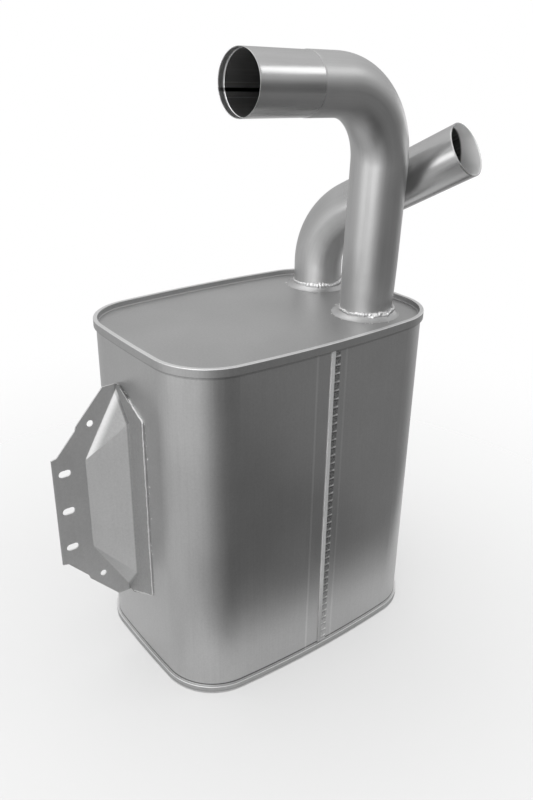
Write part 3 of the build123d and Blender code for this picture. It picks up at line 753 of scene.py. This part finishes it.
def room():
    """
    White behind the object. Metal mirrors a room that is bright to the left, most of all in a glow high
    on the left, grey behind, dark low at the front right, and darker towards the floor.
    """
    world = bpy.data.worlds.new("room")
    bpy.context.scene.world = world
    world.use_nodes = True
    nodes = Nodes(world.node_tree)
    direction = nodes.place("Generated")

    def toward(*way):
        """The cosine of the angle between the direction and a way."""
        node = nodes.add("ShaderNodeVectorMath", {0: direction, 1: way}, operation="DOT_PRODUCT")
        return node.outputs["Value"]

    height = toward(0.0, 0.0, 1.0)
    left = nodes.span(toward(-0.91, -0.41, 0.0), 0.0, 0.95, 0.58, 0.76, True)
    high = nodes.span(height, 0.25, 0.75, 0.0, 0.22, True)
    high_left = nodes.span(toward(-0.80, -0.37, 0.47), 0.78, 0.97, 0.0, 1.0, True)
    bright = nodes.total((left, 1.0), (high, 1.0), (high_left, 1.1))
    front_right = nodes.span(toward(0.53, -0.85, 0.0), -0.05, 0.78, 0.0, 1.0, True)
    not_far_right = nodes.span(toward(1.0, 0.0, 0.0), 0.86, 1.0, 1.0, 0.35, True)
    low = nodes.span(height, -0.10, 0.30, 1.0, 0.0, True)
    dark = nodes.math("MULTIPLY", nodes.math("MULTIPLY", front_right, not_far_right), low)
    downward = nodes.span(height, -0.86, -0.40, 0.20, 1.0, True)
    level = nodes.math("MULTIPLY", nodes.mix(dark, bright, 0.155), downward)
    path = nodes.add("ShaderNodeLightPath").outputs
    mirrored = nodes.math("MAXIMUM", path["Is Glossy Ray"], path["Is Transmission Ray"])
    strength = nodes.mix(path["Is Camera Ray"], nodes.mix(mirrored, 0.8, level), 1.0)
    light = nodes.add("ShaderNodeBackground", {"Color": (1, 1, 1, 1), "Strength": strength})
    nodes.add("ShaderNodeOutputWorld", {"Surface": light.outputs[0]})


def floor():
    """
    A pale round floor that fades into the surround, slowly as the camera sees it. In the metal's mirror it
    fades close round the object, sooner on the left, and never quite on the right.
    """
    drop = 0.0003
    rings = np.linspace(0.0, 1.0, 24) ** 0.8 * 3.0
    turns = np.linspace(0, 2 * math.pi, 96, endpoint=False)
    radius, turn = np.meshgrid(rings[1:], turns, indexing="ij")
    points = np.stack([radius * np.cos(turn), radius * np.sin(turn), np.zeros_like(turn)], -1).reshape(-1, 3)
    points = np.vstack([points, [0.0, 0.0, 0.0]])
    points[:, 2] -= drop
    count = len(turns)
    faces = []
    for ring in range(len(rings) - 2):
        a = ring * count + np.arange(count)
        b = ring * count + (np.arange(count) + 1) % count
        faces += np.stack([a, a + count, b + count, b], 1).tolist()
    faces += [[len(points) - 1, int(i), int((i + 1) % count)] for i in range(count)]
    mesh = bpy.data.meshes.new("floor")
    mesh.from_pydata(points.tolist(), [], faces)
    plane = bpy.data.objects.new("floor", mesh)
    bpy.context.scene.collection.objects.link(plane)
    material, nodes = new_material("floor")
    place = nodes.place()
    across = nodes.parts(place)[0]
    near = nodes.span(nodes.length(nodes.stretched(place, (0.45, 1.0, 1.0))), 0.27, 0.45, 0.0, 1.0, True)
    to_right = nodes.span(across, 0.25, 0.62, 0.0, 0.13, True)
    to_left = nodes.span(across, -0.44, -0.27, 0.5, 0.0, True)
    clear_mirror = nodes.total((near, 1.0), (to_right, -1.0), (to_left, 1.0))
    clear_mirror = nodes.math("MINIMUM", nodes.math("MAXIMUM", clear_mirror, 0.0), 1.0)
    clear_seen = nodes.span(nodes.length(place), 0.2, 1.8, 0.35, 1.0, True)
    seen = nodes.add("ShaderNodeLightPath").outputs["Is Camera Ray"]
    clear = nodes.mix(seen, clear_mirror, clear_seen)
    pale = nodes.add("ShaderNodeBsdfDiffuse", {"Color": (0.86, 0.86, 0.86, 1)})
    gone = nodes.add("ShaderNodeBsdfTransparent")
    both = nodes.add("ShaderNodeMixShader", {0: clear, 1: pale.outputs[0], 2: gone.outputs[0]})
    nodes.add("ShaderNodeOutputMaterial", {"Surface": both.outputs[0]})
    mesh.materials.append(material)


def lamp(name, place, aim, size, power):
    """A soft box: a flat square of light at a place, turned to its aim."""
    data = bpy.data.lights.new(name, "AREA")
    data.shape = "SQUARE"
    data.size = size
    data.energy = power
    light = bpy.data.objects.new(name, data)
    light.location = place
    light.rotation_mode = "QUATERNION"
    light.rotation_quaternion = (Vector(aim) - Vector(place)).to_track_quat("-Z", "Y")
    bpy.context.scene.collection.objects.link(light)


camera()
room()
floor()
lamp("soft_box_left", (-2.9, -2.2, 1.0), (0.0, 0.0, 0.8), 1.1, 11.0)
lamp("soft_box_low", (-2.95, 0.25, 0.45), (0.3, -0.15, 0.95), 1.0, 4.0)
lamp("soft_box_right", (2.95, -1.9, 3.13), (0.0, -0.1, 1.1), 1.0, 5.8)
lamp("soft_box_far", (3.0, 0.5, 0.9), (0.2, -0.1, 0.8), 1.0, 4.0)
lamp("soft_box_top", (-0.3, 0.6, 3.6), (0.0, 0.0, 0.5), 2.6, 22.0)
bpy.context.scene.view_settings.view_transform = "Standard"
